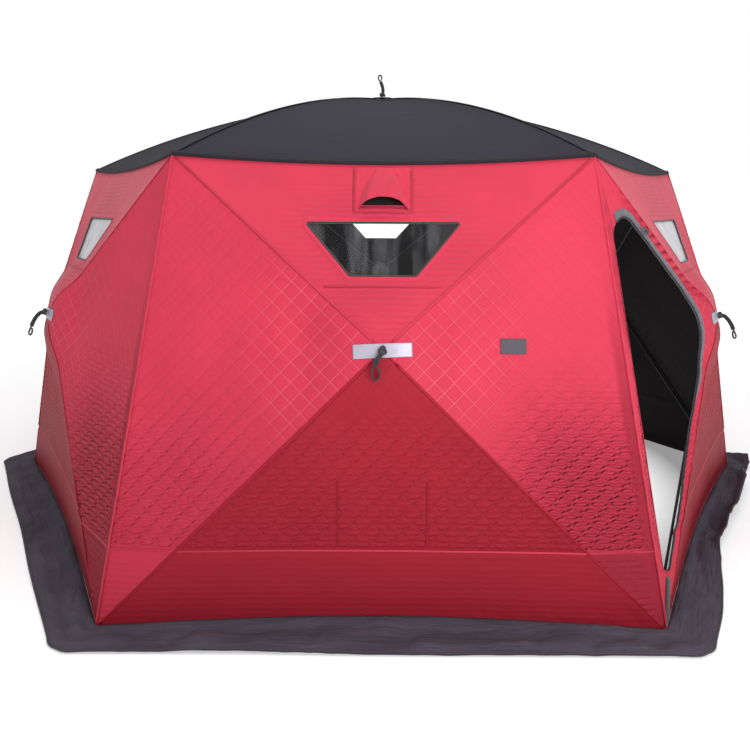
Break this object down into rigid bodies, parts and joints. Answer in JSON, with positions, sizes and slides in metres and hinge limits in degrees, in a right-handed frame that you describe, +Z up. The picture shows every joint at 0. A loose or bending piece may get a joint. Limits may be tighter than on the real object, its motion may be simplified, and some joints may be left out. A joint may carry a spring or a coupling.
{
  "type": "ice fishing shelter",
  "caption": "Hexagonal pop-up hub shelter for ice fishing: quilted fabric walls bowed out by folding rods, domed roof, zipped doorway, windows, vent hood and snow skirt.",
  "frame": {"origin": "on the ground, under the roof hub, at the middle of the skirt's outline", "axes": "+Z up, -Y out of the front wall (the one with the vent hood), +X to the right seen from the front"},
  "size_m": [4.34, 3.88, 2.174],
  "materials": {
    "wall_quilt": "satin",
    "roof_cloth": "matte",
    "skirt_cloth": "matte",
    "clear_pvc": "gloss",
    "rod_fibreglass": "satin",
    "hub_plastic": "satin",
    "webbing": "matte",
    "bracket_plastic": "satin",
    "grommet_brass": "satin",
    "zip_tape": "matte",
    "zip_metal": "satin"
  },
  "bodies": {
    "shelter": {"front_wall": "wall_quilt", "front_right_wall": "wall_quilt", "back_right_wall": "wall_quilt", "back_wall": "wall_quilt", "back_left_wall": "wall_quilt", "front_left_wall": "wall_quilt", "window_panes": "clear_pvc", "roof_canopy": "roof_cloth", "snow_skirt": "skirt_cloth", "skirt_grommets": "grommet_brass", "vent_hood": "wall_quilt", "top_corner_brackets": "bracket_plastic", "bottom_corner_brackets": "bracket_plastic", "zipper_tape": "zip_tape"},
    "front_hub": {"front_hub": "hub_plastic", "front_pull_strap": "webbing"},
    "front_rod_upper_left": {"front_rod_upper_left": "rod_fibreglass"},
    "front_rod_upper_right": {"front_rod_upper_right": "rod_fibreglass"},
    "front_rod_lower_left": {"front_rod_lower_left": "rod_fibreglass"},
    "front_rod_lower_right": {"front_rod_lower_right": "rod_fibreglass"},
    "front_right_hub": {"front_right_hub": "hub_plastic", "front_right_pull_strap": "webbing"},
    "front_right_rod_upper_left": {"front_right_rod_upper_left": "rod_fibreglass"},
    "front_right_rod_upper_right": {"front_right_rod_upper_right": "rod_fibreglass"},
    "front_right_rod_lower_left": {"front_right_rod_lower_left": "rod_fibreglass"},
    "front_right_rod_lower_right": {"front_right_rod_lower_right": "rod_fibreglass"},
    "back_right_hub": {"back_right_hub": "hub_plastic", "back_right_pull_strap": "webbing"},
    "back_right_rod_upper_left": {"back_right_rod_upper_left": "rod_fibreglass"},
    "back_right_rod_upper_right": {"back_right_rod_upper_right": "rod_fibreglass"},
    "back_right_rod_lower_left": {"back_right_rod_lower_left": "rod_fibreglass"},
    "back_right_rod_lower_right": {"back_right_rod_lower_right": "rod_fibreglass"},
    "back_hub": {"back_hub": "hub_plastic", "back_pull_strap": "webbing"},
    "back_rod_upper_left": {"back_rod_upper_left": "rod_fibreglass"},
    "back_rod_upper_right": {"back_rod_upper_right": "rod_fibreglass"},
    "back_rod_lower_left": {"back_rod_lower_left": "rod_fibreglass"},
    "back_rod_lower_right": {"back_rod_lower_right": "rod_fibreglass"},
    "back_left_hub": {"back_left_hub": "hub_plastic", "back_left_pull_strap": "webbing"},
    "back_left_rod_upper_left": {"back_left_rod_upper_left": "rod_fibreglass"},
    "back_left_rod_upper_right": {"back_left_rod_upper_right": "rod_fibreglass"},
    "back_left_rod_lower_left": {"back_left_rod_lower_left": "rod_fibreglass"},
    "back_left_rod_lower_right": {"back_left_rod_lower_right": "rod_fibreglass"},
    "front_left_hub": {"front_left_hub": "hub_plastic", "front_left_pull_strap": "webbing"},
    "front_left_rod_upper_left": {"front_left_rod_upper_left": "rod_fibreglass"},
    "front_left_rod_upper_right": {"front_left_rod_upper_right": "rod_fibreglass"},
    "front_left_rod_lower_left": {"front_left_rod_lower_left": "rod_fibreglass"},
    "front_left_rod_lower_right": {"front_left_rod_lower_right": "rod_fibreglass"},
    "roof_hub": {"roof_hub": "hub_plastic", "roof_pull_strap": "webbing"},
    "roof_rod_1": {"roof_rod_1": "rod_fibreglass"},
    "roof_rod_2": {"roof_rod_2": "rod_fibreglass"},
    "roof_rod_3": {"roof_rod_3": "rod_fibreglass"},
    "roof_rod_4": {"roof_rod_4": "rod_fibreglass"},
    "roof_rod_5": {"roof_rod_5": "rod_fibreglass"},
    "roof_rod_6": {"roof_rod_6": "rod_fibreglass"},
    "door_flap": {"door_flap": "wall_quilt"},
    "zipper_slider": {"zipper_slider": "zip_metal"}
  },
  "joints": [
    {"name": "front_hub_pop", "type": "slide", "parent": "shelter", "child": "front_hub", "axis": [0, 0.9682, -0.2502], "range_m": [0, 0.4016], "deforming": ["front_wall"]},
    {"name": "front_rod_upper_left_fold", "type": "hinge", "parent": "shelter", "child": "front_rod_upper_left", "pos_m": [-0.73967, -1.32362, 1.62823], "axis": [0.6871, 0.1818, 0.7035], "range_deg": [0, 23.32]},
    {"name": "front_rod_upper_right_fold", "type": "hinge", "parent": "shelter", "child": "front_rod_upper_right", "pos_m": [0.73967, -1.32362, 1.62823], "axis": [0.6871, -0.1818, -0.7035], "range_deg": [0, 23.32]},
    {"name": "front_rod_lower_left_fold", "type": "hinge", "parent": "shelter", "child": "front_rod_lower_left", "pos_m": [-0.97105, -1.73327, 0.04294], "axis": [-0.6947, 0.18, 0.6964], "range_deg": [0, 17.5]},
    {"name": "front_rod_lower_right_fold", "type": "hinge", "parent": "shelter", "child": "front_rod_lower_right", "pos_m": [0.97105, -1.73327, 0.04294], "axis": [-0.6947, -0.18, -0.6964], "range_deg": [0, 17.5]},
    {"name": "front_right_hub_pop", "type": "slide", "parent": "shelter", "child": "front_right_hub", "axis": [-0.8385, 0.4841, -0.2502], "range_m": [0, 0.4016], "deforming": ["front_right_wall"]},
    {"name": "front_right_rod_upper_left_fold", "type": "hinge", "parent": "shelter", "child": "front_right_rod_upper_left", "pos_m": [0.77645, -1.30238, 1.62823], "axis": [0.1861, 0.6859, 0.7035], "range_deg": [0, 23.32]},
    {"name": "front_right_rod_upper_right_fold", "type": "hinge", "parent": "shelter", "child": "front_right_rod_upper_right", "pos_m": [1.51612, -0.02124, 1.62823], "axis": [0.501, 0.5041, -0.7035], "range_deg": [0, 23.32]},
    {"name": "front_right_rod_lower_left_fold", "type": "hinge", "parent": "shelter", "child": "front_right_rod_lower_left", "pos_m": [1.01553, -1.70759, 0.04294], "axis": [-0.5032, -0.5117, 0.6964], "range_deg": [0, 17.5]},
    {"name": "front_right_rod_lower_right_fold", "type": "hinge", "parent": "shelter", "child": "front_right_rod_lower_right", "pos_m": [1.98658, -0.02568, 0.04294], "axis": [-0.1915, -0.6916, -0.6964], "range_deg": [0, 17.5]},
    {"name": "back_right_hub_pop", "type": "slide", "parent": "shelter", "child": "back_right_hub", "axis": [-0.8385, -0.4841, -0.2502], "range_m": [0, 0.4016], "deforming": ["back_right_wall"]},
    {"name": "back_right_rod_upper_left_fold", "type": "hinge", "parent": "shelter", "child": "back_right_rod_upper_left", "pos_m": [1.51612, 0.02124, 1.62823], "axis": [-0.501, 0.5041, 0.7035], "range_deg": [0, 23.32]},
    {"name": "back_right_rod_upper_right_fold", "type": "hinge", "parent": "shelter", "child": "back_right_rod_upper_right", "pos_m": [0.77645, 1.30238, 1.62823], "axis": [-0.1861, 0.6859, -0.7035], "range_deg": [0, 23.32]},
    {"name": "back_right_rod_lower_left_fold", "type": "hinge", "parent": "shelter", "child": "back_right_rod_lower_left", "pos_m": [1.98658, 0.02568, 0.04294], "axis": [0.1915, -0.6916, 0.6964], "range_deg": [0, 17.5]},
    {"name": "back_right_rod_lower_right_fold", "type": "hinge", "parent": "shelter", "child": "back_right_rod_lower_right", "pos_m": [1.01553, 1.70759, 0.04294], "axis": [0.5032, -0.5117, -0.6964], "range_deg": [0, 17.5]},
    {"name": "back_hub_pop", "type": "slide", "parent": "shelter", "child": "back_hub", "axis": [0, -0.9682, -0.2502], "range_m": [0, 0.4016], "deforming": ["back_wall"]},
    {"name": "back_rod_upper_left_fold", "type": "hinge", "parent": "shelter", "child": "back_rod_upper_left", "pos_m": [0.73967, 1.32362, 1.62823], "axis": [-0.6871, -0.1818, 0.7035], "range_deg": [0, 23.32]},
    {"name": "back_rod_upper_right_fold", "type": "hinge", "parent": "shelter", "child": "back_rod_upper_right", "pos_m": [-0.73967, 1.32362, 1.62823], "axis": [-0.6871, 0.1818, -0.7035], "range_deg": [0, 23.32]},
    {"name": "back_rod_lower_left_fold", "type": "hinge", "parent": "shelter", "child": "back_rod_lower_left", "pos_m": [0.97105, 1.73327, 0.04294], "axis": [0.6947, -0.18, 0.6964], "range_deg": [0, 17.5]},
    {"name": "back_rod_lower_right_fold", "type": "hinge", "parent": "shelter", "child": "back_rod_lower_right", "pos_m": [-0.97105, 1.73327, 0.04294], "axis": [0.6947, 0.18, -0.6964], "range_deg": [0, 17.5]},
    {"name": "back_left_hub_pop", "type": "slide", "parent": "shelter", "child": "back_left_hub", "axis": [0.8385, -0.4841, -0.2502], "range_m": [0, 0.4016], "deforming": ["back_left_wall"]},
    {"name": "back_left_rod_upper_left_fold", "type": "hinge", "parent": "shelter", "child": "back_left_rod_upper_left", "pos_m": [-0.77645, 1.30238, 1.62823], "axis": [-0.1861, -0.6859, 0.7035], "range_deg": [0, 23.32]},
    {"name": "back_left_rod_upper_right_fold", "type": "hinge", "parent": "shelter", "child": "back_left_rod_upper_right", "pos_m": [-1.51612, 0.02124, 1.62823], "axis": [-0.501, -0.5041, -0.7035], "range_deg": [0, 23.32]},
    {"name": "back_left_rod_lower_left_fold", "type": "hinge", "parent": "shelter", "child": "back_left_rod_lower_left", "pos_m": [-1.01553, 1.70759, 0.04294], "axis": [0.5032, 0.5117, 0.6964], "range_deg": [0, 17.5]},
    {"name": "back_left_rod_lower_right_fold", "type": "hinge", "parent": "shelter", "child": "back_left_rod_lower_right", "pos_m": [-1.98658, 0.02568, 0.04294], "axis": [0.1915, 0.6916, -0.6964], "range_deg": [0, 17.5]},
    {"name": "front_left_hub_pop", "type": "slide", "parent": "shelter", "child": "front_left_hub", "axis": [0.8385, 0.4841, -0.2502], "range_m": [0, 0.4016], "deforming": ["front_left_wall"]},
    {"name": "front_left_rod_upper_left_fold", "type": "hinge", "parent": "shelter", "child": "front_left_rod_upper_left", "pos_m": [-1.51612, -0.02124, 1.62823], "axis": [0.501, -0.5041, 0.7035], "range_deg": [0, 23.32]},
    {"name": "front_left_rod_upper_right_fold", "type": "hinge", "parent": "shelter", "child": "front_left_rod_upper_right", "pos_m": [-0.77645, -1.30238, 1.62823], "axis": [0.1861, -0.6859, -0.7035], "range_deg": [0, 23.32]},
    {"name": "front_left_rod_lower_left_fold", "type": "hinge", "parent": "shelter", "child": "front_left_rod_lower_left", "pos_m": [-1.98658, -0.02568, 0.04294], "axis": [-0.1915, 0.6916, 0.6964], "range_deg": [0, 17.5]},
    {"name": "front_left_rod_lower_right_fold", "type": "hinge", "parent": "shelter", "child": "front_left_rod_lower_right", "pos_m": [-1.01553, -1.70759, 0.04294], "axis": [-0.5032, 0.5117, -0.6964], "range_deg": [0, 17.5]},
    {"name": "roof_hub_drop", "type": "slide", "parent": "shelter", "child": "roof_hub", "axis": [0, 0, -1], "range_m": [0, 0.706], "deforming": ["roof_canopy"]},
    {"name": "roof_rod_1_fold", "type": "hinge", "parent": "shelter", "child": "roof_rod_1", "pos_m": [0.746, -1.29211, 1.655], "axis": [-0.866, -0.5, 0], "range_deg": [0, 28.07]},
    {"name": "roof_rod_2_fold", "type": "hinge", "parent": "shelter", "child": "roof_rod_2", "pos_m": [1.492, 0, 1.655], "axis": [0, -1, 0], "range_deg": [0, 28.07]},
    {"name": "roof_rod_3_fold", "type": "hinge", "parent": "shelter", "child": "roof_rod_3", "pos_m": [0.746, 1.29211, 1.655], "axis": [0.866, -0.5, 0], "range_deg": [0, 28.07]},
    {"name": "roof_rod_4_fold", "type": "hinge", "parent": "shelter", "child": "roof_rod_4", "pos_m": [-0.746, 1.29211, 1.655], "axis": [0.866, 0.5, 0], "range_deg": [0, 28.07]},
    {"name": "roof_rod_5_fold", "type": "hinge", "parent": "shelter", "child": "roof_rod_5", "pos_m": [-1.492, 0, 1.655], "axis": [0, 1, 0], "range_deg": [0, 28.07]},
    {"name": "roof_rod_6_fold", "type": "hinge", "parent": "shelter", "child": "roof_rod_6", "pos_m": [-0.746, -1.29211, 1.655], "axis": [-0.866, 0.5, 0], "range_deg": [0, 28.07]},
    {"name": "door_swing", "type": "hinge", "parent": "shelter", "child": "door_flap", "pos_m": [0.81207, -1.30549, 1.66441], "axis": [-0.143, 0.2476, 0.9583], "range_deg": [-73, 35]},
    {"name": "zip_run", "type": "slide", "parent": "shelter", "child": "zipper_slider", "axis": [-0.6583, -0.4445, 0.6076], "range_m": [-0.39, 0]}
  ],
  "couplings": [
    {"joint": "front_rod_upper_left_fold", "follows": "front_hub_pop", "rad_per_m": 1.0135},
    {"joint": "front_rod_upper_right_fold", "follows": "front_hub_pop", "rad_per_m": 1.0135},
    {"joint": "front_rod_lower_left_fold", "follows": "front_hub_pop", "rad_per_m": 0.7603},
    {"joint": "front_rod_lower_right_fold", "follows": "front_hub_pop", "rad_per_m": 0.7603},
    {"joint": "front_right_rod_upper_left_fold", "follows": "front_right_hub_pop", "rad_per_m": 1.0135},
    {"joint": "front_right_rod_upper_right_fold", "follows": "front_right_hub_pop", "rad_per_m": 1.0135},
    {"joint": "front_right_rod_lower_left_fold", "follows": "front_right_hub_pop", "rad_per_m": 0.7603},
    {"joint": "front_right_rod_lower_right_fold", "follows": "front_right_hub_pop", "rad_per_m": 0.7603},
    {"joint": "back_right_rod_upper_left_fold", "follows": "back_right_hub_pop", "rad_per_m": 1.0135},
    {"joint": "back_right_rod_upper_right_fold", "follows": "back_right_hub_pop", "rad_per_m": 1.0135},
    {"joint": "back_right_rod_lower_left_fold", "follows": "back_right_hub_pop", "rad_per_m": 0.7603},
    {"joint": "back_right_rod_lower_right_fold", "follows": "back_right_hub_pop", "rad_per_m": 0.7603},
    {"joint": "back_rod_upper_left_fold", "follows": "back_hub_pop", "rad_per_m": 1.0135},
    {"joint": "back_rod_upper_right_fold", "follows": "back_hub_pop", "rad_per_m": 1.0135},
    {"joint": "back_rod_lower_left_fold", "follows": "back_hub_pop", "rad_per_m": 0.7603},
    {"joint": "back_rod_lower_right_fold", "follows": "back_hub_pop", "rad_per_m": 0.7603},
    {"joint": "back_left_rod_upper_left_fold", "follows": "back_left_hub_pop", "rad_per_m": 1.0135},
    {"joint": "back_left_rod_upper_right_fold", "follows": "back_left_hub_pop", "rad_per_m": 1.0135},
    {"joint": "back_left_rod_lower_left_fold", "follows": "back_left_hub_pop", "rad_per_m": 0.7603},
    {"joint": "back_left_rod_lower_right_fold", "follows": "back_left_hub_pop", "rad_per_m": 0.7603},
    {"joint": "front_left_rod_upper_left_fold", "follows": "front_left_hub_pop", "rad_per_m": 1.0135},
    {"joint": "front_left_rod_upper_right_fold", "follows": "front_left_hub_pop", "rad_per_m": 1.0135},
    {"joint": "front_left_rod_lower_left_fold", "follows": "front_left_hub_pop", "rad_per_m": 0.7603},
    {"joint": "front_left_rod_lower_right_fold", "follows": "front_left_hub_pop", "rad_per_m": 0.7603},
    {"joint": "roof_rod_1_fold", "follows": "roof_hub_drop", "rad_per_m": 0.69399},
    {"joint": "roof_rod_2_fold", "follows": "roof_hub_drop", "rad_per_m": 0.69399},
    {"joint": "roof_rod_3_fold", "follows": "roof_hub_drop", "rad_per_m": 0.69399},
    {"joint": "roof_rod_4_fold", "follows": "roof_hub_drop", "rad_per_m": 0.69399},
    {"joint": "roof_rod_5_fold", "follows": "roof_hub_drop", "rad_per_m": 0.69399},
    {"joint": "roof_rod_6_fold", "follows": "roof_hub_drop", "rad_per_m": 0.69399}
  ]
}
